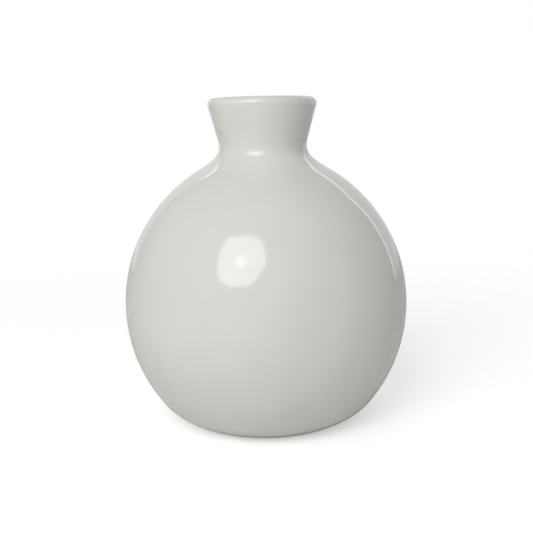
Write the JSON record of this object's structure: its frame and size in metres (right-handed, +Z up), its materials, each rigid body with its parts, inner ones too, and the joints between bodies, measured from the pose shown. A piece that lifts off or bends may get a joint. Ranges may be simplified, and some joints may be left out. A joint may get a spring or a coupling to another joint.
{
  "type": "bud vase",
  "caption": "Round glazed ceramic bud vase with a short flared neck, a rounded lip and a recessed foot, for one stem or a small posy.",
  "frame": {"origin": "centre of the foot, in the plane that the foot ring stands on", "axes": "+Z up along the axis of revolution, out of the mouth; +X and +Y are equivalent"},
  "size_m": [0.09, 0.09, 0.1015],
  "materials": {
    "fired_clay": "matt fired stoneware, wiped bare on the foot ring",
    "outer_glaze": "satin-gloss white glaze with a slight grey-green cast",
    "liner_glaze": "satin-gloss white glaze, poured through the inside"
  },
  "bodies": {
    "root": {"clay_body": "fired_clay", "outer_glaze": "outer_glaze", "liner_glaze": "liner_glaze", "base_glaze": "outer_glaze"}
  },
  "joints": []
}
